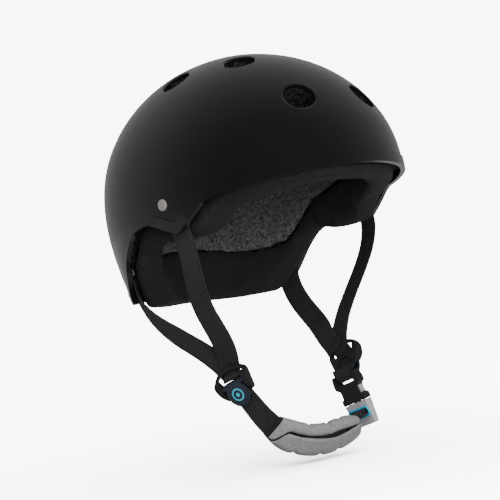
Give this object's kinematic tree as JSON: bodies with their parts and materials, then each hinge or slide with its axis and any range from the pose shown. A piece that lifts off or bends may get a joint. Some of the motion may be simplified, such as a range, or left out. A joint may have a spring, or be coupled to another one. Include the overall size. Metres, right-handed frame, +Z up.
{
  "type": "skateboard helmet",
  "caption": "Round open-eared helmet with a glossy vented shell, padded lining, strap dividers, side-release buckle and a gathered chin pad.",
  "frame": {"origin": "where the top of the head rests, under the middle of the lining", "axes": "+Z up out of the helmet, -Y to the front, +X to the wearer's left"},
  "size_m": [0.2192, 0.2761, 0.332],
  "materials": {
    "gloss_shell": "high gloss injection-moulded black",
    "liner_foam": "matt black expanded foam",
    "lining_fleece": "mottled grey-black fleece",
    "band_fabric": "smooth brushed black fabric",
    "webbing": "black woven webbing",
    "black_plastic": "satin black moulded plastic",
    "navy_disc": "gloss dark navy with a bright blue ring",
    "grey_plastic": "light grey moulded plastic",
    "blue_trim": "bright blue soft trim",
    "pad_fabric": "heather grey brushed fabric",
    "rivet_metal": "black coated steel",
    "pin_steel": "plain steel",
    "hook_tape": "hook-and-loop tape"
  },
  "bodies": {
    "helmet": {"outer_shell": "gloss_shell", "impact_liner": "liner_foam", "crown_lining": "lining_fleece", "front_band": "band_fabric", "rear_band": "band_fabric", "hook_patches": "hook_tape", "strap_rivets": "rivet_metal", "rivet_washers": "pin_steel", "front_strap_right": "webbing", "rear_strap_right": "webbing", "front_strap_left": "webbing", "rear_strap_left": "webbing"},
    "chin_loop": {"divider_frame_right": "black_plastic", "divider_frame_left": "black_plastic", "lever_pin_right": "pin_steel", "lever_pin_left": "pin_steel", "chin_strap": "webbing", "chin_pad": "pad_fabric", "buckle_strap": "webbing", "buckle_female": "black_plastic"},
    "lever_right": {"divider_lever_right": "navy_disc"},
    "lever_left": {"divider_lever_left": "navy_disc"},
    "buckle_tongue": {"buckle_male": "grey_plastic", "slot_ring": "blue_trim", "chin_fold": "webbing"},
    "front_latch": {"latch_arm_front": "grey_plastic"},
    "rear_latch": {"latch_arm_rear": "grey_plastic"}
  },
  "joints": [
    {"name": "chin_loop_swing", "type": "hinge", "parent": "helmet", "child": "chin_loop", "pos_m": [0, -0.026, -0.2315], "axis": [-1, 0, 0], "range_deg": [-35, 50], "deforming": ["front_strap_right", "rear_strap_right", "front_strap_left", "rear_strap_left"]},
    {"name": "lever_right_flip", "type": "hinge", "parent": "chin_loop", "child": "lever_right", "pos_m": [-0.06124, -0.02516, -0.23595], "axis": [-0.2314, 0.889, -0.3952], "range_deg": [0, 85]},
    {"name": "lever_left_flip", "type": "hinge", "parent": "chin_loop", "child": "lever_left", "pos_m": [0.06438, -0.02662, -0.23184], "axis": [0.0712, -0.8973, 0.4357], "range_deg": [0, 85]},
    {"name": "buckle_release", "type": "slide", "parent": "chin_loop", "child": "buckle_tongue", "axis": [0.1835, -0.2608, -0.9478], "range_m": [0, 0.026], "deforming": ["chin_fold", "latch_arm_front", "latch_arm_rear"]},
    {"name": "rear_latch_press", "type": "hinge", "parent": "buckle_tongue", "child": "rear_latch", "pos_m": [0.05643, -0.03071, -0.26945], "axis": [0.982, 0.0933, 0.1645], "range_deg": [0, 11], "stiffness_Nm_per_rad": 0.01},
    {"name": "front_latch_press", "type": "hinge", "parent": "buckle_tongue", "child": "front_latch", "pos_m": [0.05724, -0.04762, -0.26464], "axis": [-0.982, -0.0933, -0.1645], "range_deg": [0, 11], "stiffness_Nm_per_rad": 0.01}
  ],
  "couplings": [
    {"joint": "front_latch_press", "follows": "rear_latch_press", "ratio": 1}
  ]
}
